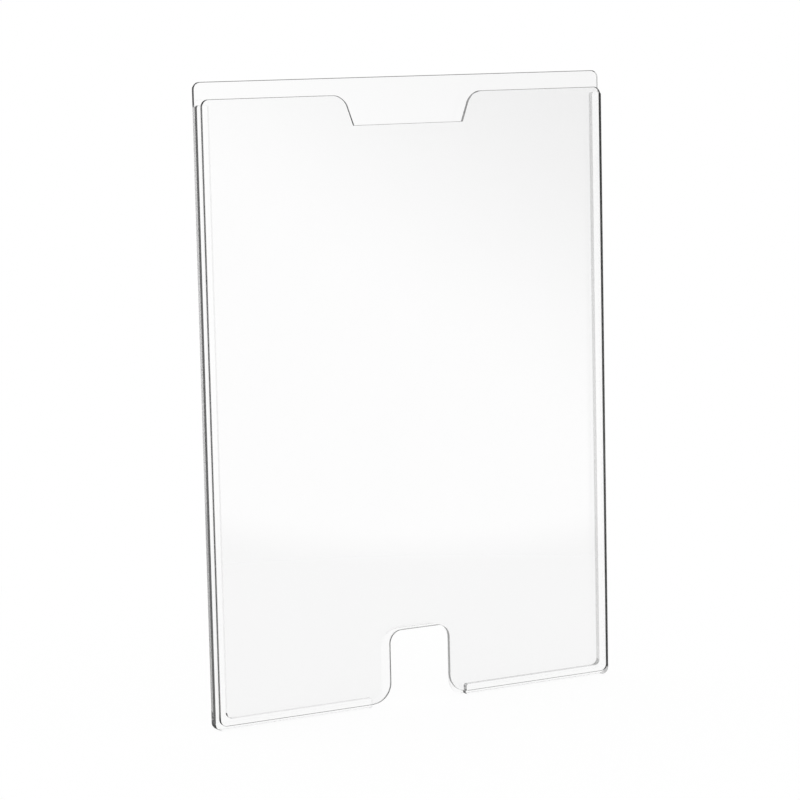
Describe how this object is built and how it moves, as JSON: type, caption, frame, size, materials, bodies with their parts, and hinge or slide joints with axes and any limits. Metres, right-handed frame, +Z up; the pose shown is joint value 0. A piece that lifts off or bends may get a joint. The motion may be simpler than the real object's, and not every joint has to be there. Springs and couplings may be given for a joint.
{
  "type": "document holder",
  "caption": "Flat clear pocket that holds an A4 page upright: front and back plates joined by L-shaped side spacers, with a grip recess in the top edge and a finger slot in the bottom edge.",
  "frame": {"origin": "middle of the back plate's rear face, which goes against a wall", "axes": "+Z up along the page's height, +X across the page, +Y out of the rear face towards the wall; the front faces -Y"},
  "size_m": [0.2236, 0.007, 0.3106],
  "materials": {
    "clear_acrylic": "clear cast acrylic sheet with polished faces and cut, polished edges"
  },
  "bodies": {
    "root": {"front_plate": "clear_acrylic", "back_plate": "clear_acrylic", "left_spacer": "clear_acrylic", "right_spacer": "clear_acrylic"}
  },
  "joints": []
}
